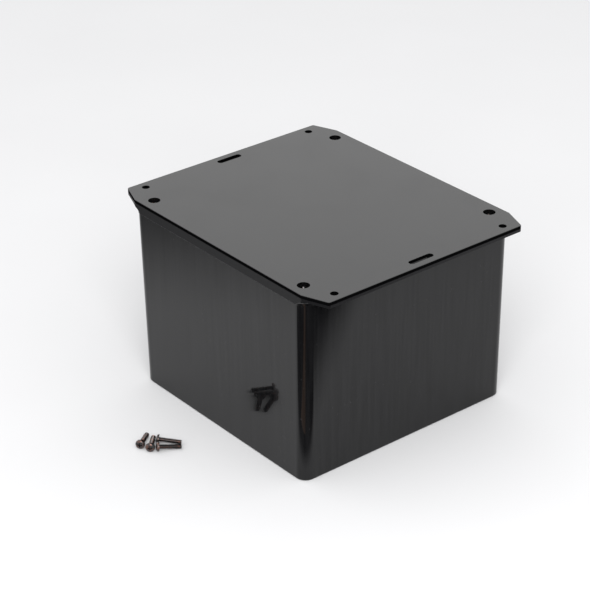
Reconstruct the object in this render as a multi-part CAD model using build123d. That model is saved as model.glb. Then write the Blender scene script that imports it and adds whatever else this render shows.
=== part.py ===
from build123d import *
import os
from math import atan, cos, radians, sin

# Battery box: a deep moulded tub with two drilled and slotted ears, and a gasketed lid that four
# screws hold down into threaded inserts. Four loose mounting screws lie beside it.
# Millimetres. +Z up, origin at the middle of the tub's flat underside, ears along X.

# ---- Whole box ----
box_height = 175.0  # underside of the tub to the top of the lid
lid_length = 271.0  # along X, over both ears
lid_width = 223.4  # along Y, flush with the tub's rim
ear_reach = 20.7  # how far each ear stands out past the rim

# ---- Tub ----
wall = 3.4
floor_thickness = 3.6
taper_x = 3.05  # how far each end wall leans in from the collar to the floor
taper_y = 0.25  # the same for the front and back walls
tub_corner = 10.0  # outer corner radius in plan
base_round = 1.5  # round where the walls meet the underside
collar_height = 8.2  # thickened band below the rim
collar_step = 0.4  # how far the band stands proud of the wall
collar_round = 0.3
flange_thickness = 2.5
ear_fillet = 5.0  # concave round under each ear, as far as the collar leaves room for it
collar_flat = 0.3  # least plain height kept on the collar below that round

# ---- Lid ----
lid_thickness = 3.0
corner_cut_x = 23.7  # each corner is cut off at a slant: along X
corner_cut_y = 8.8  # and along Y
corner_round = 2.5  # round on the points of that cut
lid_edge_round = 0.4
lip_thickness = 1.8  # locating lip under the lid
lip_height = 3.0
lip_gap = 0.5  # all round, between the lip and the tub's inside

# ---- Gasket, set in a groove in the rim ----
gasket_width = 1.6
gasket_depth = 1.5
gasket_edge = 1.1  # from the rim's outer face to the groove

# ---- Pan-head machine screws, number 8, 32 threads to the inch ----
thread_diameter = 4.17
thread_length = 19.0
tip_chamfer = 0.6
head_diameter = 8.2
head_height = 2.6
head_round = 1.7
drive_width = 1.1  # cross recess
drive_span = 4.6
drive_depth = 1.7

# ---- Lid screw places, cups, bosses and inserts ----
screw_inset_x = 14.5  # from the rim's outer face to the screw's axis
screw_inset_y = 11.9
cup_clearance = 0.55  # radial, round the sealing washer in the recess that hides the screw head
cup_depth = 6.4
cup_wall = 1.6
cup_floor = 1.5
washer_thickness = 1.2
washer_margin = 0.6  # the sealing washer stands out past the head by this
washer_fit = 0.09  # radial, the washer on the thread
shank_clearance = 0.4  # radial, the thread in the cup floor and in the blind bore
boss_margin = 0.65  # the boss stands out past the cup that it carries by this
web_thickness = 2.6
insert_wall = 1.0
insert_length = 10.0
thread_fit = 0.05  # radial, the thread in the insert
bore_spare = 2.5  # blind bore below the screw's tip

# ---- Ears ----
ear_line = 9.2  # from the lid's end to the line of holes and slot
ear_hole_diameter = 6.8
ear_hole_inset = 21.6  # from the lid's side
strap_slot_length = 25.0
strap_slot_width = 6.0

# ---- Battery mat ----
mat_thickness = 3.0
mat_gap = 1.5  # to the walls and the bosses
mat_corner = 3.0

# ---- Loose mounting screws: middle of the head's underside in plan, and where the tip points ----
loose_screws = [
    (-14.9, -165.3, 45.7),
    (-5.4, -172.3, 61.2),
    (-9.9, -178.0, 136.5),
    (-19.0, -181.6, 128.0),
]

# ---- Worked out from the sizes above ----
through = 1.0  # cutting tools run past a face by this
rim_top = box_height - lid_thickness
rim_length = lid_length - 2 * ear_reach
rim_width = lid_width
collar_bottom = rim_top - collar_height
flange_bottom = rim_top - flange_thickness
ear_round = min(ear_fillet, collar_height - flange_thickness - collar_round - collar_flat)
neck_length = rim_length - 2 * collar_step
neck_width = rim_width - 2 * collar_step
cup_seat = box_height - cup_depth
boss_top = cup_seat - cup_floor
screw_seat = cup_seat + washer_thickness
screw_tip = screw_seat - thread_length
thread_radius = thread_diameter / 2
head_radius = head_diameter / 2
washer_radius = head_radius + washer_margin
cup_radius = washer_radius + cup_clearance
boss_radius = cup_radius + cup_wall + boss_margin
insert_radius = thread_radius + thread_fit + insert_wall
screw_x = rim_length / 2 - screw_inset_x
screw_y = rim_width / 2 - screw_inset_y
ear_x = lid_length / 2 - ear_line
ear_hole_y = lid_width / 2 - ear_hole_inset
# Front left, front right, back right, back left
corners = [(-1, -1), (1, -1), (1, 1), (-1, 1)]
screw_places = [(sx * screw_x, sy * screw_y) for sx, sy in corners]


def rod(x, y, low, high, radius):
    """Upright cylinder between two heights."""
    return Pos(x, y, low) * extrude(Circle(radius), high - low)


def slab(length, width, low, high, corner):
    """Upright block with rounded corners, centred on the box."""
    return Pos(0, 0, low) * extrude(RectangleRounded(length, width, corner), high - low)


def wall_size(z):
    """Length and width over the outside of the tapered walls at a height."""
    lean = 1 - z / collar_bottom
    return neck_length - 2 * taper_x * lean, neck_width - 2 * taper_y * lean


def tapered(low, high, inset):
    """Solid that follows the tapered walls, set in from their outside."""
    sections = []
    for z in (low, high):
        length, width = wall_size(z)
        outline = RectangleRounded(length - 2 * inset, width - 2 * inset, tub_corner - inset)
        sections.append(Pos(0, 0, z) * outline)
    return loft(sections, ruled=True)


def lid_outline():
    """Rectangle with its four corners cut off at a slant and the points eased."""
    x, y = lid_length / 2, lid_width / 2
    points = []
    for sx, sy in corners:
        ends = [(sx * x, sy * (y - corner_cut_y)), (sx * (x - corner_cut_x), sy * y)]
        points += ends if sx * sy > 0 else ends[::-1]
    return fillet(Polygon(*points, align=None).vertices(), corner_round)


def ear_cutters():
    """Mounting holes and strap slots, through the lid and the tub's flange."""
    low, height = flange_bottom - through, box_height - flange_bottom + 2 * through
    holes = [Pos(sx * ear_x, sy * ear_hole_y) * Circle(ear_hole_diameter / 2) for sx, sy in corners]
    slot = SlotOverall(strap_slot_length, strap_slot_width, rotation=90)
    slots = [Pos(sx * ear_x, 0) * slot for sx in (-1, 1)]
    return [Pos(0, 0, low) * extrude(hole, height) for hole in holes + slots]


def rim_head():
    """Collar and flange in one, with the concave round under the ears."""
    collar = slab(rim_length, rim_width, collar_bottom, rim_top, tub_corner)
    collar = fillet(collar.edges().group_by(Axis.Z)[0], collar_round)
    spread = ear_reach + ear_round
    flange = slab(rim_length + 2 * spread, rim_width + 2 * spread, flange_bottom, rim_top, tub_corner)
    head = collar + flange
    level = head.edges().filter_by_position(Axis.Z, flange_bottom - 0.01, flange_bottom + 0.01)
    reach_x, reach_y = rim_length / 2 + through, rim_width / 2 + through
    joint = [e for e in level if abs(e.center().X) < reach_x and abs(e.center().Y) < reach_y]
    head = fillet(joint, ear_round)
    return head & extrude(Pos(0, 0, collar_bottom) * lid_outline(), collar_height)


def make_tub():
    shell = tapered(0, collar_bottom, 0)
    shell = fillet(shell.edges().group_by(Axis.Z)[0], base_round)
    body = shell + rim_head()
    posts = []
    for (x, y), (sx, sy) in zip(screw_places, corners):
        height = boss_top - floor_thickness
        posts.append(rod(x, y, floor_thickness, boss_top, boss_radius))
        web_x = Pos(x + sx * screw_inset_x / 2, y) * Rectangle(screw_inset_x, web_thickness)
        web_y = Pos(x, y + sy * screw_inset_y / 2) * Rectangle(web_thickness, screw_inset_y)
        posts.append(extrude(Pos(0, 0, floor_thickness) * (web_x + web_y), height) & body)
    tub = body - tapered(floor_thickness, rim_top + through, wall)
    for post in posts:
        tub += post
    for x, y in screw_places:
        tub -= rod(x, y, boss_top - insert_length, boss_top + through, insert_radius)
        blind_end = screw_tip - bore_spare
        tub -= rod(x, y, blind_end, boss_top, thread_radius + shank_clearance)
    tub -= make_gasket()
    for cutter in ear_cutters():
        tub -= cutter
    return tub


def make_gasket():
    low = rim_top - gasket_depth
    outer_length, outer_width = rim_length - 2 * gasket_edge, rim_width - 2 * gasket_edge
    outer_corner = tub_corner - gasket_edge
    ring = slab(outer_length, outer_width, low, rim_top, outer_corner)
    shrink = 2 * gasket_width
    core = slab(outer_length - shrink, outer_width - shrink, low, rim_top, outer_corner - gasket_width)
    return ring - core


def make_lid():
    plate = Pos(0, 0, rim_top) * extrude(lid_outline(), lid_thickness)
    plate = fillet(plate.edges().group_by(Axis.Z)[-1], lid_edge_round)
    lip_bottom = rim_top - lip_height
    length, width = wall_size(lip_bottom)
    inset = wall + lip_gap
    length, width, corner = length - 2 * inset, width - 2 * inset, tub_corner - inset
    lip = slab(length, width, lip_bottom, rim_top, corner)
    core_corner = corner - lip_thickness
    lip -= slab(length - 2 * lip_thickness, width - 2 * lip_thickness, lip_bottom, rim_top, core_corner)
    lid = plate + lip
    for x, y in screw_places:
        lid += rod(x, y, boss_top, rim_top, cup_radius + cup_wall)
    for x, y in screw_places:
        lid -= rod(x, y, cup_seat, box_height + through, cup_radius)
        lid -= rod(x, y, boss_top - through, cup_seat, thread_radius + shank_clearance)
    for cutter in ear_cutters():
        lid -= cutter
    return lid


def make_battery_mat():
    length, width = wall_size(floor_thickness)
    inset = wall + mat_gap
    length, width = length - 2 * inset, width - 2 * inset
    between = boss_radius + mat_gap
    mat = Rectangle(length, 2 * (screw_y - between)) + Rectangle(2 * (screw_x - between), width)
    mat = fillet(mat.vertices(), mat_corner)
    return Pos(0, 0, floor_thickness) * extrude(mat, mat_thickness)


def make_insert(x, y):
    sleeve = rod(x, y, boss_top - insert_length, boss_top, insert_radius)
    return sleeve - rod(x, y, boss_top - insert_length, boss_top, thread_radius + thread_fit)


def make_washer(x, y):
    ring = rod(x, y, cup_seat, screw_seat, washer_radius)
    return ring - rod(x, y, cup_seat, screw_seat, thread_radius + washer_fit)


def make_screw():
    """Pan-head screw, tip down, with its head's underside at z = 0."""
    head = rod(0, 0, 0, head_height, head_radius)
    head = fillet(head.edges().group_by(Axis.Z)[-1], head_round)
    shank = rod(0, 0, -thread_length, 0, thread_radius)
    shank = chamfer(shank.edges().group_by(Axis.Z)[0], tip_chamfer)
    cross = Rectangle(drive_span, drive_width) + Rectangle(drive_width, drive_span)
    drive = extrude(Pos(0, 0, head_height - drive_depth) * cross, drive_depth + through)
    return head + shank - drive


def lay_down(screw, x, y, heading):
    """Rest a screw on its head's rim and its tip, with the tip towards a heading."""
    dip = atan((head_radius - thread_radius) / (thread_length - tip_chamfer))
    turn = radians(heading)
    to_head = (-cos(dip) * cos(turn), -cos(dip) * sin(turn), sin(dip))
    return Plane(origin=(x, y, head_radius * cos(dip)), z_dir=to_head) * screw


nodes = {
    "tub": make_tub(),
    "lid": make_lid(),
    "lid_gasket": make_gasket(),
    "battery_mat": make_battery_mat(),
}
for number, (x, y) in enumerate(screw_places, 1):
    nodes[f"threaded_insert_{number}"] = make_insert(x, y)
    nodes[f"lid_screw_washer_{number}"] = make_washer(x, y)
    nodes[f"lid_screw_{number}"] = Pos(x, y, screw_seat) * make_screw()
for number, (x, y, heading) in enumerate(loose_screws, 1):
    nodes[f"mounting_screw_{number}"] = lay_down(make_screw(), x, y, heading)

os.makedirs("parts", exist_ok=True)
for name, solid in nodes.items():
    export_step(solid, f"parts/{name}.step")
    print(name, round(solid.volume, 1))
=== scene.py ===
import math

import bmesh
import bpy
import numpy as np
from mathutils import Matrix, Vector


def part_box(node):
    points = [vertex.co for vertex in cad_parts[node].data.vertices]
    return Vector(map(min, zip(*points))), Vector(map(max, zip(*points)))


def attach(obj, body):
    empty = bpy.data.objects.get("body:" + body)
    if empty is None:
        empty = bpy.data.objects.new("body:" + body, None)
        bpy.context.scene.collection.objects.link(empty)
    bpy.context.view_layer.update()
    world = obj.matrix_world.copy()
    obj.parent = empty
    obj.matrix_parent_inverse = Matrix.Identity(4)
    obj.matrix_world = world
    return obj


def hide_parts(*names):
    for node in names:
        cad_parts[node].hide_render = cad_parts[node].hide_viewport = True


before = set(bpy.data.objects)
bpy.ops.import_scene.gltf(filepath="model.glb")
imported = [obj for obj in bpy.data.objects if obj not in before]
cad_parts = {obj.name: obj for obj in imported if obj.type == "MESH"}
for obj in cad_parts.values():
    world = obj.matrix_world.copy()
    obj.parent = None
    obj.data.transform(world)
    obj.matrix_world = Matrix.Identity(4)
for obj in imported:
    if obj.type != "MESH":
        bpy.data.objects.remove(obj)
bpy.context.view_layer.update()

MM = 0.001

# ---- Sizes that the frame gives ----
tub_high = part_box("tub")[1]
lid_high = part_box("lid")[1]
mat_low, mat_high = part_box("battery_mat")
gasket_low, gasket_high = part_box("lid_gasket")
screw_low, screw_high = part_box("lid_screw_1")
box_height = lid_high.z

# ---- Number 8 pan-head machine screw, 32 threads to the inch ----
thread_radius = 2.085 * MM
thread_pitch = 25.4 / 32 * MM
thread_depth = 0.61 * thread_pitch
thread_steps = 28  # facets round the thread
tip_chamfer = 0.6 * MM
head_height = 2.6 * MM
head_side = 0.95 * MM  # upright part of the head, below the dome
head_flat = 1.6 * MM  # radius of the flat top
head_radius = (screw_high.x - screw_low.x) / 2
thread_length = screw_high.z - screw_low.z - head_height
head_steps = 64  # facets round the head
dome_steps = 10  # facets up the dome
cross_mouth = (2.35 * MM, 0.56 * MM)  # half span and half width of each wing, just above the head
cross_foot = (1.0 * MM, 0.42 * MM)  # the same at the recess's floor
cross_depth = 1.75 * MM
insert_fit = 0.05 * MM  # radial, the thread in its insert
washer_fit = 0.09 * MM  # radial, the thread in its washer
lid_screw_turns = (17, 52, 71, 8)  # degrees, how each lid screw's cross ended up

# ---- Mat, notched round the corner bosses ----
mat_notch_x, mat_notch_y = 91.3 * MM, 90.8 * MM  # notch faces, from the middle
rib_height = 0.9 * MM
rib_half = 1.3 * MM
rib_spacing = 6.0 * MM

# ---- Loose screws: middle of the head's underside in plan, and where the tip points ----
loose_screws = [
    (-14.9 * MM, -165.3 * MM, 45.7),
    (-5.4 * MM, -172.3 * MM, 61.2),
    (-9.9 * MM, -178.0 * MM, 136.5),
    (-19.0 * MM, -181.6 * MM, 128.0),
]


# ---- Materials ----
def srgb(code, alpha=1.0):
    """Turns an sRGB hex colour into linear values."""
    parts = [int(code[i : i + 2], 16) / 255 for i in (1, 3, 5)]
    linear = [c / 12.92 if c <= 0.04045 else ((c + 0.055) / 1.055) ** 2.4 for c in parts]
    return (*linear, alpha)


def add(material, kind, inputs=None, **settings):
    """Adds one shader node, with its settings, and sets or links its inputs."""
    tree = material.node_tree
    made = tree.nodes.new("ShaderNode" + kind)
    for key, value in settings.items():
        setattr(made, key, value)
    for key, value in (inputs or {}).items():
        if isinstance(value, bpy.types.NodeSocket):
            tree.links.new(value, made.inputs[key])
        else:
            made.inputs[key].default_value = value
    return made


def start(name, **shader_inputs):
    """New material with one surface shader, whose uniform values are set on its own sockets."""
    material = bpy.data.materials.new(name)
    material.use_nodes = True
    material.node_tree.nodes.clear()
    shader = add(material, "BsdfPrincipled", {k.replace("_", " "): v for k, v in shader_inputs.items()})
    output = add(material, "OutputMaterial", {"Surface": shader.outputs["BSDF"]})
    output.is_active_output = True
    return material, shader


def wire(material, shader, **sources):
    """Links node outputs to the surface shader's sockets."""
    for key, source in sources.items():
        material.node_tree.links.new(source, shader.inputs[key.replace("_", " ")])


def glossy_moulded_abs():
    """Black ABS from a polished mould: near-mirror gloss, faint vertical draw lines, a little dust."""
    m, shader = start("glossy moulded ABS", IOR=1.54, Roughness=0.05)
    shader.inputs["Specular IOR Level"].default_value = 0.27
    place = add(m, "TexCoord").outputs["Object"]
    # Draw lines run up the wall: about 2.2 mm apart and 90 mm long.
    lines_at = add(m, "Mapping", {"Vector": place, "Scale": (1 / 2.2, 1 / 2.2, 1 / 90)}).outputs["Vector"]
    lines = add(m, "TexNoise", {"Vector": lines_at, "Scale": 1 / MM, "Detail": 3.0}).outputs["Fac"]
    # Cooling leaves broad, very shallow waves, about 35 mm across.
    waves = add(m, "TexNoise", {"Vector": place, "Scale": 1 / (35 * MM), "Detail": 1.0}).outputs["Fac"]
    # Dust: specks of 0.4 mm, thinly scattered.
    dust_at = add(m, "TexNoise", {"Vector": place, "Scale": 1 / (1.3 * MM), "Detail": 0.0}).outputs["Fac"]
    dust = add(m, "MapRange", {"Value": dust_at, "From Min": 0.83, "From Max": 0.87}).outputs["Result"]
    streaks = add(m, "MapRange", {"Value": lines, "From Min": 0.34, "From Max": 0.66}).outputs["Result"]
    plain = add(
        m,
        "Mix",
        {"Factor": streaks, "A": srgb("#0a0a0b"), "B": srgb("#131314")},
        data_type="RGBA",
    )
    colour = add(
        m,
        "Mix",
        {"Factor": dust, "A": plain.outputs["Result"], "B": srgb("#2a2a2b")},
        data_type="RGBA",
    )
    gloss = add(
        m,
        "MapRange",
        {"Value": lines, "From Min": 0.3, "From Max": 0.7, "To Min": 0.02, "To Max": 0.07},
    )
    dulled = add(m, "Math", {0: dust, 1: 0.15}, operation="MULTIPLY").outputs["Value"]
    rough = add(m, "Math", {0: gloss.outputs["Result"], 1: dulled}, operation="ADD").outputs["Value"]
    deep = add(m, "Bump", {"Height": waves, "Strength": 0.25, "Distance": 0.12 * MM}).outputs["Normal"]
    relief = add(m, "Bump", {"Height": lines, "Strength": 0.2, "Distance": 0.006 * MM, "Normal": deep})
    wire(m, shader, Base_Color=colour.outputs["Result"], Roughness=rough, Normal=relief.outputs["Normal"])
    return m


def satin_moulded_abs(name, code, smooth, dull):
    """Black ABS from a finely blasted mould, wiped by hand: an even, softer gloss with faint smears."""
    m, shader = start(name, IOR=1.54, Roughness=(smooth + dull) / 2)
    place = add(m, "TexCoord").outputs["Object"]
    # Wiping smears: soft patches about 45 mm across.
    smears = add(m, "TexNoise", {"Vector": place, "Scale": 1 / (45 * MM), "Detail": 4.0, "Distortion": 0.8})
    # Fine mould texture, 0.4 mm apart.
    grain = add(m, "TexNoise", {"Vector": place, "Scale": 1 / (0.4 * MM), "Detail": 2.0}).outputs["Fac"]
    # Dust: specks of 0.3 mm.
    dust_at = add(m, "TexNoise", {"Vector": place, "Scale": 1 / (1.1 * MM), "Detail": 0.0}).outputs["Fac"]
    dust = add(m, "MapRange", {"Value": dust_at, "From Min": 0.81, "From Max": 0.85}).outputs["Result"]
    colour = add(m, "Mix", {"Factor": dust, "A": srgb(code), "B": srgb("#2c2c2c")}, data_type="RGBA")
    soft = add(
        m,
        "MapRange",
        {"Value": smears.outputs["Fac"], "From Min": 0.3, "From Max": 0.7, "To Min": smooth, "To Max": dull},
    )
    relief = add(m, "Bump", {"Height": grain, "Strength": 0.15, "Distance": 0.01 * MM})
    wire(
        m,
        shader,
        Base_Color=colour.outputs["Result"],
        Roughness=soft.outputs["Result"],
        Normal=relief.outputs["Normal"],
    )
    return m


def matt_abs_painted_shade():
    """Black ABS trimmed by a cutter, with a matt edge; its reflection is switched off, so it is also painted
    black shade.
    """
    m, shader = start("trimmed ABS, painted shade", IOR=1.54, Roughness=0.7)
    # No reflection at all: painted black shade on the lid's edge and inside its slots, holes and recesses.
    shader.inputs["Specular IOR Level"].default_value = 0.0
    place = add(m, "TexCoord").outputs["Object"]
    # Cutter marks, 0.5 mm apart along the edge and across it.
    marks_at = add(m, "Mapping", {"Vector": place, "Scale": (1 / 0.5, 1 / 0.5, 1 / 3)}).outputs["Vector"]
    marks = add(m, "TexNoise", {"Vector": marks_at, "Scale": 1 / MM, "Detail": 3.0}).outputs["Fac"]
    colour = add(m, "Mix", {"Factor": marks, "A": srgb("#020202"), "B": srgb("#080809")}, data_type="RGBA")
    relief = add(m, "Bump", {"Height": marks, "Strength": 0.5, "Distance": 0.05 * MM})
    wire(m, shader, Base_Color=colour.outputs["Result"], Normal=relief.outputs["Normal"])
    return m


def textured_abs():
    """Black ABS with a fine grain and a weaker, duller reflection: the band between the lid and the wall
    comes out darker than the wall.
    """
    m, shader = start("textured ABS", IOR=1.54, Roughness=0.42)
    shader.inputs["Specular IOR Level"].default_value = 0.16
    place = add(m, "TexCoord").outputs["Object"]
    # Fine grain, 0.25 mm.
    grain = add(m, "TexNoise", {"Vector": place, "Scale": 1 / (0.25 * MM), "Detail": 3.0}).outputs["Fac"]
    colour = add(m, "Mix", {"Factor": grain, "A": srgb("#0a0a0b"), "B": srgb("#141416")}, data_type="RGBA")
    rough = add(m, "MapRange", {"Value": grain, "To Min": 0.34, "To Max": 0.5}).outputs["Result"]
    relief = add(m, "Bump", {"Height": grain, "Strength": 0.4, "Distance": 0.02 * MM})
    wire(m, shader, Base_Color=colour.outputs["Result"], Roughness=rough, Normal=relief.outputs["Normal"])
    return m


def moulded_rubber(name, code, roughness, grain_mm):
    """Black rubber: dull, with a fine skin texture."""
    m, shader = start(name, IOR=1.52, Roughness=roughness)
    place = add(m, "TexCoord").outputs["Object"]
    grain = add(m, "TexNoise", {"Vector": place, "Scale": 1 / (grain_mm * MM), "Detail": 3.0}).outputs["Fac"]
    bloom = add(m, "TexNoise", {"Vector": place, "Scale": 1 / (22 * MM), "Detail": 3.0}).outputs["Fac"]
    shade = add(m, "MapRange", {"Value": bloom, "From Min": 0.35, "From Max": 0.7}).outputs["Result"]
    colour = add(m, "Mix", {"Factor": shade, "A": srgb(code), "B": srgb("#2b2a29")}, data_type="RGBA")
    relief = add(m, "Bump", {"Height": grain, "Strength": 0.4, "Distance": 0.05 * MM})
    wire(m, shader, Base_Color=colour.outputs["Result"], Normal=relief.outputs["Normal"])
    return m


def turned_brass():
    """Free-cutting brass: warm, with fine turning marks round the axis."""
    m, shader = start("turned brass", Metallic=1.0, Roughness=0.28)
    place = add(m, "TexCoord").outputs["Object"]
    marks_at = add(m, "Mapping", {"Vector": place, "Scale": (1 / 2, 1 / 2, 1 / 0.15)}).outputs["Vector"]
    marks = add(m, "TexNoise", {"Vector": marks_at, "Scale": 1 / MM, "Detail": 2.0}).outputs["Fac"]
    colour = add(m, "Mix", {"Factor": marks, "A": srgb("#b98f45"), "B": srgb("#d9b56c")}, data_type="RGBA")
    rough = add(m, "MapRange", {"Value": marks, "To Min": 0.2, "To Max": 0.38}).outputs["Result"]
    relief = add(m, "Bump", {"Height": marks, "Strength": 0.3, "Distance": 0.01 * MM}).outputs["Normal"]
    wire(m, shader, Base_Color=colour.outputs["Result"], Roughness=rough, Normal=relief)
    return m


def black_oxide_steel():
    """Steel with an oiled black oxide coat: dark, glossy, brownish where the coat is thin."""
    m, shader = start("black oxide steel", Metallic=1.0, Roughness=0.25)
    # The oil film shows the glints that the glowing white card near the key paints.
    shader.inputs["Coat Weight"].default_value = 1.0
    shader.inputs["Coat Roughness"].default_value = 0.06
    place = add(m, "TexCoord").outputs["Object"]
    # Thin places in the coat, about 2 mm across.
    thin = add(m, "TexNoise", {"Vector": place, "Scale": 1 / (2.2 * MM), "Detail": 4.0}).outputs["Fac"]
    warm = add(m, "MapRange", {"Value": thin, "From Min": 0.48, "From Max": 0.64}).outputs["Result"]
    colour = add(m, "Mix", {"Factor": warm, "A": srgb("#29292a"), "B": srgb("#67463a")}, data_type="RGBA")
    rough = add(m, "MapRange", {"Value": thin, "To Min": 0.08, "To Max": 0.26}).outputs["Result"]
    relief = add(m, "Bump", {"Height": thin, "Strength": 0.2, "Distance": 0.02 * MM}).outputs["Normal"]
    wire(m, shader, Base_Color=colour.outputs["Result"], Roughness=rough, Normal=relief)
    return m


def white_paper():
    """Plain pale sweep that the box stands on."""
    m, shader = start("white paper", IOR=1.45, Roughness=0.9)
    shader.inputs["Specular IOR Level"].default_value = 0.0
    place = add(m, "TexCoord").outputs["Object"]
    mottle = add(m, "TexNoise", {"Vector": place, "Scale": 5.0, "Detail": 2.0}).outputs["Fac"]
    colour = add(m, "Mix", {"Factor": mottle, "A": srgb("#c5c5c6"), "B": srgb("#c9c9ca")}, data_type="RGBA")
    wire(m, shader, Base_Color=colour.outputs["Result"])
    return m


def painted_dark_reflection_material():
    """Black card that only reflections see, for painted dark reflections: clear near the box, black farther
    out towards the camera, and partly dark far to the left.
    """
    m, shader = start("black card", Roughness=1.0)
    shader.inputs["Base Color"].default_value = srgb("#000000")
    shader.inputs["Specular IOR Level"].default_value = 0.0
    place = add(m, "TexCoord").outputs["Object"]
    reach = add(m, "VectorMath", {0: place, 1: towards_camera}, operation="DOT_PRODUCT").outputs["Value"]
    past = add(
        m,
        "MapRange",
        {"Value": reach, "From Min": card_fade[0], "From Max": card_fade[1]},
        interpolation_type="SMOOTHSTEP",
    )
    across = add(m, "VectorMath", {0: place, 1: right}, operation="DOT_PRODUCT").outputs["Value"]
    left = add(
        m,
        "MapRange",
        {"Value": across, "From Min": side_fade[0], "From Max": side_fade[1], "To Max": 0.75},
        interpolation_type="SMOOTHSTEP",
    )
    dark = add(m, "Math", {0: past.outputs["Result"], 1: left.outputs["Result"]}, operation="MAXIMUM")
    clear = add(m, "BsdfTransparent")
    mixed = add(
        m,
        "MixShader",
        {0: dark.outputs["Value"], 1: clear.outputs["BSDF"], 2: shader.outputs["BSDF"]},
    )
    m.node_tree.links.new(mixed.outputs["Shader"], m.node_tree.nodes["Material Output"].inputs["Surface"])
    return m


def painted_reflection_glow_material(name, code, strength):
    """Glowing card that only reflections see, for painted reflections: brown for the near corner's warm
    line, white for the glints of the lamp's front.
    """
    m, shader = start(name, Roughness=1.0)
    shader.inputs["Base Color"].default_value = srgb("#000000")
    shader.inputs["Emission Color"].default_value = srgb(code)
    shader.inputs["Emission Strength"].default_value = strength
    return m


# ---- Mesh helpers ----
def make_piece(name, mesh_parts, material, smooth_angle=35.0):
    """Turns one or more bmeshes into an object with a material and smooth shading up to an angle."""
    mesh = bpy.data.meshes.new(name)
    joined = bmesh.new()
    for part in mesh_parts:
        part.to_mesh(mesh)
        joined.from_mesh(mesh)
        part.free()
    bmesh.ops.recalc_face_normals(joined, faces=joined.faces)
    joined.to_mesh(mesh)
    joined.free()
    mesh.shade_smooth()
    mesh.set_sharp_from_angle(angle=math.radians(smooth_angle))
    mesh.materials.append(material)
    made = bpy.data.objects.new(name, mesh)
    bpy.context.scene.collection.objects.link(made)
    return made


def skin(rows, closed_rows=True, closed_ring=False, caps=True):
    """Faces between rows of points. Each row may close on itself, and the rows may form a ring."""
    bm = bmesh.new()
    grid = [[bm.verts.new(p) for p in row] for row in rows]
    count = len(rows[0])
    pairs = list(zip(grid, grid[1:]))
    if closed_ring:
        pairs.append((grid[-1], grid[0]))
    for low, high in pairs:
        for i in range(count if closed_rows else count - 1):
            j = (i + 1) % count
            bm.faces.new((low[i], low[j], high[j], high[i]))
    if caps and not closed_ring:
        bm.faces.new(grid[0][::-1])
        bm.faces.new(grid[-1])
    return bm


def lathe(profile, steps):
    """Turns a closed profile of (radius, height) about Z."""
    rows = []
    for i in range(steps):
        a = 2 * math.pi * i / steps
        rows.append([(r * math.cos(a), r * math.sin(a), z) for r, z in profile])
    return skin(rows, closed_rows=True, closed_ring=True)


def helix(low, high, root, crest, chamfer=0.0):
    """Threaded shell about Z between two heights, closed by flat ends."""
    stations = [(0.0, root), (0.22, root), (0.53, crest), (0.69, crest)]
    turns = int((high - low) / thread_pitch) + 3
    bm = bmesh.new()
    grid = []
    for i in range(thread_steps):
        a = 2 * math.pi * i / thread_steps
        column = []
        for turn in range(turns):
            for share, radius in stations:
                z = low + (turn - 1 + share + i / thread_steps) * thread_pitch
                radius = min(radius, crest - max(0.0, chamfer - (z - low)))
                if z <= low or z >= high:
                    z = min(max(z, low), high)
                    radius = min(root, crest - chamfer) if z == low else root
                column.append(bm.verts.new((radius * math.cos(a), radius * math.sin(a), z)))
        grid.append(column)
    shift = len(stations)
    last = len(grid[0]) - 1
    for i in range(thread_steps):
        here, there = grid[i], grid[(i + 1) % thread_steps]
        jump = shift if i == thread_steps - 1 else 0
        for k in range(last):
            if k + 1 + jump <= last:
                bm.faces.new((here[k + jump], there[k], there[k + 1], here[k + 1 + jump]))
    bmesh.ops.remove_doubles(bm, verts=bm.verts, dist=1e-7)
    bmesh.ops.dissolve_degenerate(bm, edges=bm.edges, dist=1e-7)
    rims = [e for e in bm.edges if e.is_boundary]
    bmesh.ops.holes_fill(bm, edges=rims)
    return bm


def boolean_cut(target, cutter):
    """Cuts one object out of another for good and removes the cutter."""
    cut = target.modifiers.new("cut", "BOOLEAN")
    cut.operation = "DIFFERENCE"
    cut.solver = "EXACT"
    cut.object = cutter
    depsgraph = bpy.context.evaluated_depsgraph_get()
    result = bpy.data.meshes.new_from_object(target.evaluated_get(depsgraph))
    target.modifiers.clear()
    target.data = result
    bpy.data.objects.remove(cutter)


# ---- Pieces ----
def pan_head():
    """Domed pan head with a cross recess, its underside at z = 0."""
    edge = 0.12 * MM
    profile = [(head_radius - edge, 0.0), (head_radius, edge), (head_radius, head_side)]
    for i in range(1, dome_steps + 1):
        a = math.pi / 2 * i / dome_steps
        reach = head_flat + (head_radius - head_flat) * math.cos(a)
        profile.append((reach, head_side + (head_height - head_side) * math.sin(a)))
    rows = []
    for r, z in profile:
        turn = [2 * math.pi * i / head_steps for i in range(head_steps)]
        rows.append([(r * math.cos(a), r * math.sin(a), z) for a in turn])
    blank = make_piece("pan_head", [skin(rows)], steel)
    for turned in (0, 1):
        foot, mouth = head_height - cross_depth, head_height + 0.3 * MM
        rows = []
        for x, y, z in ((*cross_foot, foot), (*cross_mouth, mouth)):
            ring = [(x, y, z), (-x, y, z), (-x, -y, z), (x, -y, z)]
            rows.append([(q[1], -q[0], q[2]) if turned else q for q in ring])
        boolean_cut(blank, make_piece("wing", [skin(rows)], steel))
    return blank


def pan_head_screw():
    """One screw's mesh: head above z = 0, threaded shank below."""
    head = pan_head()
    bm = bmesh.new()
    bm.from_mesh(head.data)
    bpy.data.objects.remove(head)
    sunk = 0.3 * MM
    shank = helix(-thread_length, sunk, thread_radius - thread_depth, thread_radius, tip_chamfer)
    piece = make_piece("screw", [bm, shank], steel, 32.0)
    mesh = piece.data
    bpy.data.objects.remove(piece)
    return mesh


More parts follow.
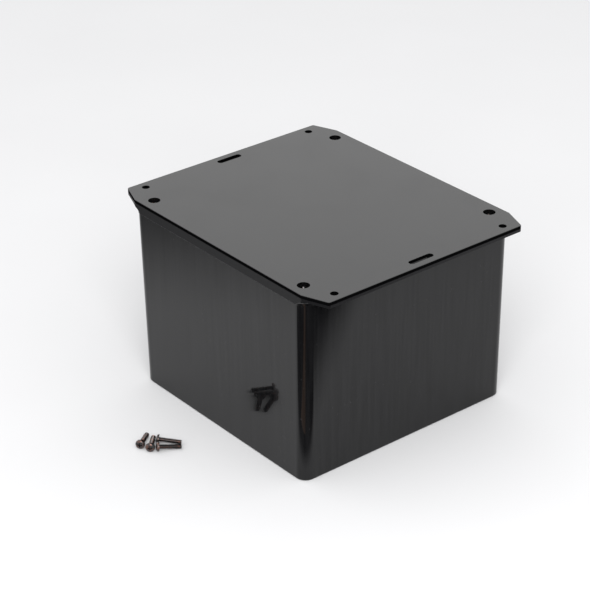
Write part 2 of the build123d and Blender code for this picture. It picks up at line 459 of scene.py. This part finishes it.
def place_screw(name, node, body, mesh, matrix):
    """Puts one screw in place and hands it over for its CAD node."""
    own_mesh = mesh.copy()
    own_mesh.transform(matrix)
    piece = bpy.data.objects.new(name, own_mesh)
    bpy.context.scene.collection.objects.link(piece)
    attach(piece, body)
    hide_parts(node)


def lying_down(x, y, heading):
    """Matrix that rests an upright screw on its head's rim and its tip, the tip towards a heading."""
    dip = math.atan((head_radius - thread_radius) / (thread_length - tip_chamfer))
    turn = math.radians(heading)
    to_head = Vector((-math.cos(dip) * math.cos(turn), -math.cos(dip) * math.sin(turn), math.sin(dip)))
    spin = to_head.to_track_quat("Z", "Y").to_matrix().to_4x4()
    return Matrix.Translation((x, y, head_radius * math.cos(dip))) @ spin


def sealing_washer(name, node, body):
    """Rubber washer with rounded edges."""
    low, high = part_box(node)
    outer = (high.x - low.x) / 2
    inner = thread_radius + washer_fit
    ease = 0.3 * MM
    corners = [(outer, -1, -1), (outer, 1, -1), (inner, 1, 1), (inner, -1, 1)]
    half = (high.z - low.z) / 2
    profile = []
    for index, (radius, side, inward) in enumerate(corners):
        centre = Vector((radius + inward * ease, side * (half - ease)))
        begin = -math.pi / 2 + index * math.pi / 2
        for step in range(4):
            a = begin + math.pi / 2 * step / 3
            profile.append((centre.x + ease * math.cos(a), centre.y + ease * math.sin(a)))
    piece = make_piece(name, [lathe(profile, 48)], washer_rubber)
    piece.location = (low + high) / 2
    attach(piece, body)
    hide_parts(node)


def knurled_insert(name, node):
    """Brass insert: knurled outside, with a plain bore that widens at the mouth."""
    low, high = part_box(node)
    outer = (high.x - low.x) / 2
    height = high.z - low.z
    teeth, points = 30, 120
    rows = []
    # Share of the height, and how far the outside is cut back there: two knurled bands with a waist.
    bands = (
        (0.0, 0.3), (0.06, 0.0), (0.42, 0.0), (0.45, 0.3),
        (0.55, 0.3), (0.58, 0.0), (0.97, 0.0), (1.0, 0.12),
    )
    for z, cut in bands:
        row = []
        for i in range(points):
            a = 2 * math.pi * i / points
            twist = (z if z < 0.5 else 1 - z) * 2.0
            groove = 0.14 * MM * (1 - math.cos(teeth * (a + twist))) / 2
            r = outer - cut * MM - groove
            row.append((r * math.cos(a), r * math.sin(a), z * height))
        rows.append(row)
    bore = thread_radius + insert_fit
    for z, widen in ((1.0, 0.35), (0.96, 0.0), (0.5, 0.0), (0.0, 0.0)):
        r = bore + widen * MM
        turn = [2 * math.pi * i / points for i in range(points)]
        rows.append([(r * math.cos(a), r * math.sin(a), z * height) for a in turn])
    piece = make_piece(name, [skin(rows, closed_ring=True)], brass)
    piece.location = ((low.x + high.x) / 2, (low.y + high.y) / 2, low.z)
    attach(piece, "root")
    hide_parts(node)


def rounded_path(half_x, half_y, radius, steps=8):
    """Points and outward directions round a rectangle with rounded corners."""
    path = []
    for index, (sx, sy) in enumerate(((1, 1), (-1, 1), (-1, -1), (1, -1))):
        for i in range(steps + 1):
            a = math.pi / 2 * (index + i / steps)
            centre = Vector((sx * (half_x - radius), sy * (half_y - radius)))
            outward = Vector((math.cos(a), math.sin(a)))
            path.append((centre + outward * radius, outward))
    return path


def rubber_gasket():
    """Gasket cord in the rim's groove, crowned along its middle."""
    width, depth = 1.6 * MM, gasket_high.z - gasket_low.z
    crown = 0.35 * MM
    half_x, half_y = (gasket_high.x - gasket_low.x) / 2, (gasket_high.y - gasket_low.y) / 2
    profile = [(0.0, 0.0), (-width, 0.0)]
    for i in range(9):
        share = i / 8
        profile.append((-width * (1 - share), depth - crown * (2 * share - 1) ** 2))
    rows = []
    for point, outward in rounded_path(half_x, half_y, 8.9 * MM):
        row = [(*(point + outward * reach), gasket_low.z + z) for reach, z in profile]
        rows.append(row)
    piece = make_piece("gasket_cord", [skin(rows, closed_ring=True)], gasket_rubber)
    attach(piece, "root")
    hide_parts("lid_gasket")


def ribbed_mat():
    """Rubber mat on the floor: a notched sheet with rounded ribs across it."""
    half_x, half_y = mat_high.x, mat_high.y
    sheet_top = mat_high.z - rib_height
    ease = 3.0 * MM
    corners = [
        (half_x, mat_notch_y), (mat_notch_x, mat_notch_y), (mat_notch_x, half_y),
        (-mat_notch_x, half_y), (-mat_notch_x, mat_notch_y), (-half_x, mat_notch_y),
        (-half_x, -mat_notch_y), (-mat_notch_x, -mat_notch_y), (-mat_notch_x, -half_y),
        (mat_notch_x, -half_y), (mat_notch_x, -mat_notch_y), (half_x, -mat_notch_y),
    ]
    points = []
    for k, corner in enumerate(corners):
        before, after = Vector(corners[k - 1]), Vector(corners[(k + 1) % len(corners)])
        corner = Vector(corner)
        one, two = (before - corner).normalized(), (after - corner).normalized()
        for i in range(6):
            share = i / 5
            start_at, end_at = corner + one * ease, corner + two * ease
            bend = start_at * (1 - share) ** 2 + corner * 2 * share * (1 - share) + end_at * share**2
            points.append(bend)
    bevel = 0.4 * MM
    levels = [(mat_low.z, 0.0), (sheet_top - bevel, 0.0), (sheet_top, bevel)]
    rows = [[(*(p * (1 - inset / half_x)), z) for p in points] for z, inset in levels]
    parts = [skin(rows)]
    count = int(2 * (half_y - 3 * MM) / rib_spacing)
    for k in range(count + 1):
        y = (k - count / 2) * rib_spacing
        reach = (half_x if abs(y) < mat_notch_y - 2 * MM else mat_notch_x) - 3.5 * MM
        rows = []
        for end, shrink in ((-1, 0.3), (-0.985, 0.8), (-0.97, 1.0), (0.97, 1.0), (0.985, 0.8), (1, 0.3)):
            row = []
            for i in range(9):
                a = math.pi * i / 8
                lift = rib_height * math.sin(a) * shrink - 0.05 * MM
                row.append((end * reach, y + rib_half * math.cos(a) * shrink, sheet_top + lift))
            rows.append(row)
        parts.append(skin(rows))
    piece = make_piece("ribbed_mat", parts, mat_rubber)
    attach(piece, "root")
    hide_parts("battery_mat")


# ---- Finishes on the moulded shells ----
outline_depth = 0.3 * MM  # a face this close to the farthest point of the shell is on its outline


def is_upright(face):
    return abs(face.normal.z) < 0.35


def finish_node(node, materials, is_edge, is_inside):
    """Gives a moulded shell three finishes: all over, on the outline that is_edge picks, and inside."""
    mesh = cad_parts[node].data
    mesh.materials.clear()
    for material in materials:
        mesh.materials.append(material)
    corners = np.array([v.co for v in mesh.vertices])
    for face in mesh.polygons:
        if is_upright(face) and is_edge(face.center):
            outermost = (corners @ np.array(face.normal)).max()
            if face.center.dot(face.normal) > outermost - outline_depth:
                face.material_index = 1
        if is_inside(face):
            face.material_index = 2


# ---- Where the tub's band, flange and inside lie ----
rim_top = tub_high.z
flange_bottom = rim_top - 2.5 * MM
collar_bottom = rim_top - 8.2 * MM
ears_from = 116.0 * MM  # the ears lie beyond this, from the middle
under_floor = 2.0 * MM  # below this, faces belong to the underside


def on_band(at):
    """The collar between the ears, and the flange's edge all round."""
    return at.z > flange_bottom or (at.z > collar_bottom and abs(at.x) < ears_from)


def in_tub(face):
    """Faces of the tub that look inwards or, below the rim, upwards."""
    at, way = face.center, face.normal
    inwards = at.x * way.x + at.y * way.y < -0.01 * MM
    return under_floor < at.z < rim_top - 0.5 * MM and (inwards or way.z > 0.9)


def above_rim(at):
    """The lid's plate, without the cups and the lip below it."""
    return at.z > rim_top


def cut_through_lid(face):
    """Walls of the lid's slots, holes and recesses."""
    return above_rim(face.center) and is_upright(face)


satin_abs = satin_moulded_abs("satin moulded ABS", "#101011", 0.16, 0.27)
inner_abs = satin_moulded_abs("satin moulded ABS, core side", "#1c1c1d", 0.26, 0.36)
finish_node("tub", (glossy_moulded_abs(), textured_abs(), inner_abs), on_band, in_tub)
# The lid's outline edges and the walls of its slots, holes and recesses get painted black shade.
painted_shade_abs = matt_abs_painted_shade()
finish_node("lid", (satin_abs, painted_shade_abs, painted_shade_abs), above_rim, cut_through_lid)
gasket_rubber = moulded_rubber("sponge rubber cord", "#161616", 0.75, 0.35)
mat_rubber = moulded_rubber("ribbed rubber", "#1b1b1b", 0.6, 0.5)
washer_rubber = moulded_rubber("washer rubber", "#121212", 0.55, 0.3)
brass = turned_brass()
steel = black_oxide_steel()

screw_mesh = pan_head_screw()
for n in range(1, 5):
    low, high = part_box(f"lid_screw_{n}")
    seat = Vector(((low.x + high.x) / 2, (low.y + high.y) / 2, high.z - head_height))
    spin = Matrix.Rotation(math.radians(lid_screw_turns[n - 1]), 4, "Z")
    seated = Matrix.Translation(seat) @ spin
    place_screw(f"lid_pan_screw_{n}", f"lid_screw_{n}", f"screw_body_{n}", screw_mesh, seated)
    sealing_washer(f"sealing_washer_{n}", f"lid_screw_washer_{n}", f"washer_body_{n}")
    knurled_insert(f"knurled_insert_{n}", f"threaded_insert_{n}")
for n, (x, y, heading) in enumerate(loose_screws, 1):
    lying = lying_down(x, y, heading)
    place_screw(f"loose_pan_screw_{n}", f"mounting_screw_{n}", "root", screw_mesh, lying)
rubber_gasket()
ribbed_mat()

# ---- Camera: long lens, from the front right and above ----
azimuth, elevation, roll = (math.radians(a) for a in (51.571, 28.3645, -0.9407))
distance = 10.1436 * box_height
aim_right, aim_up = -0.129 * box_height, 0.0133 * box_height
back = Vector(
    (
        math.sin(azimuth) * math.cos(elevation),
        -math.cos(azimuth) * math.cos(elevation),
        math.sin(elevation),
    )
)
right = Vector((math.cos(azimuth), math.sin(azimuth), 0))
up = back.cross(right)
axis_x = right * math.cos(roll) + up * math.sin(roll)
axis_y = up * math.cos(roll) - right * math.sin(roll)
camera_data = bpy.data.cameras.new("camera")
camera_data.sensor_width = 36.0
camera_data.lens = 125.84
camera_data.clip_start, camera_data.clip_end = 0.05, 50.0
camera = bpy.data.objects.new("camera", camera_data)
bpy.context.scene.collection.objects.link(camera)
eye = Vector((0, 0, box_height / 2)) + axis_x * aim_right + axis_y * aim_up + back * distance
turned = Matrix((axis_x, axis_y, back)).transposed().to_4x4()
camera.matrix_world = Matrix.Translation(eye) @ turned
bpy.context.scene.camera = camera

# ---- Stage and light ----
towards_camera = Vector((math.sin(azimuth), -math.cos(azimuth), 0))
# Painted dark reflections: what the walls reflect turns black in front of the box and partly dark far to the
# left, while the floor itself stays white.
card_fade = (0.93 * box_height, 1.15 * box_height)
side_fade = (-1.5 * box_height, -2.9 * box_height)


def flat_sheet(name, corners, material):
    """One flat face on the stage."""
    bm = bmesh.new()
    bm.faces.new([bm.verts.new(c) for c in corners])
    made = make_piece(name, [bm], material)
    return made


square = ((-1, -1), (1, -1), (1, 1), (-1, 1))
floor_half = 12.0
flat_sheet("floor", [(a * floor_half, b * floor_half, 0) for a, b in square], white_paper())


def only_reflected(card):
    """Hides a card from everything but reflections."""
    for channel in ("camera", "diffuse", "shadow", "transmission", "volume_scatter"):
        setattr(card, f"visible_{channel}", False)


def reflector_card(name, near, far, left_side, right_side, height, material):
    """Flat card just above the floor, which only reflections see."""
    corners = []
    for along, across in ((near, left_side), (far, left_side), (far, right_side), (near, right_side)):
        corner = (towards_camera * along + right * across) * box_height
        corners.append((corner.x, corner.y, height))
    only_reflected(flat_sheet(name, corners, material))


# In box heights: nearest and farthest towards the camera, then left and right ends.
# Painted reflection: the black card darkens what the walls reflect.
reflector_card("painted_dark_reflection_card", -3.0, 6.0, -6.0, 3.0, 0.5 * MM, painted_dark_reflection_material())
# Painted reflection: the glowing brown card puts a warm line in the near corner.
reflector_card("painted_warm_reflection_card", 1.25, 4.0, -0.5, -0.12, 1.0 * MM, painted_reflection_glow_material("brown card", "#b0886a", 1.1))

world = bpy.data.worlds.new("studio")
world.use_nodes = True
world.node_tree.nodes["Background"].inputs["Color"].default_value = (1.0, 1.0, 1.0, 1.0)
world.node_tree.nodes["Background"].inputs["Strength"].default_value = 1.32
bpy.context.scene.world = world


def soft_light(name, place, target, size, power):
    """Round lamp at a place, facing a target."""
    data = bpy.data.lights.new(name, "AREA")
    data.shape = "DISK"
    data.size = size
    data.energy = power
    lamp = bpy.data.objects.new(name, data)
    lamp.location = place
    lamp.rotation_mode = "QUATERNION"
    lamp.rotation_quaternion = (Vector(target) - Vector(place)).to_track_quat("-Z", "Y")
    bpy.context.scene.collection.objects.link(lamp)
    return lamp


# The key lights the sweep without showing in the gloss.
# A dimmer glowing white card in the same place, seen only in reflections, paints the metal's glints.
lamp_at = eye + Vector((0, 0, 0.35))
lamp_aim = (0, 0, 0.1)
key = soft_light("key", lamp_at, lamp_aim, 1.2, 33.0)
key.visible_glossy = False
lamp_half = 0.5
lamp_corners = [lamp_at + right * a * lamp_half + up * b * lamp_half for a, b in square]
only_reflected(flat_sheet("painted_glint_card", lamp_corners, painted_reflection_glow_material("white card", "#ffffff", 5.0)))

bpy.context.scene.view_settings.view_transform = "Standard"
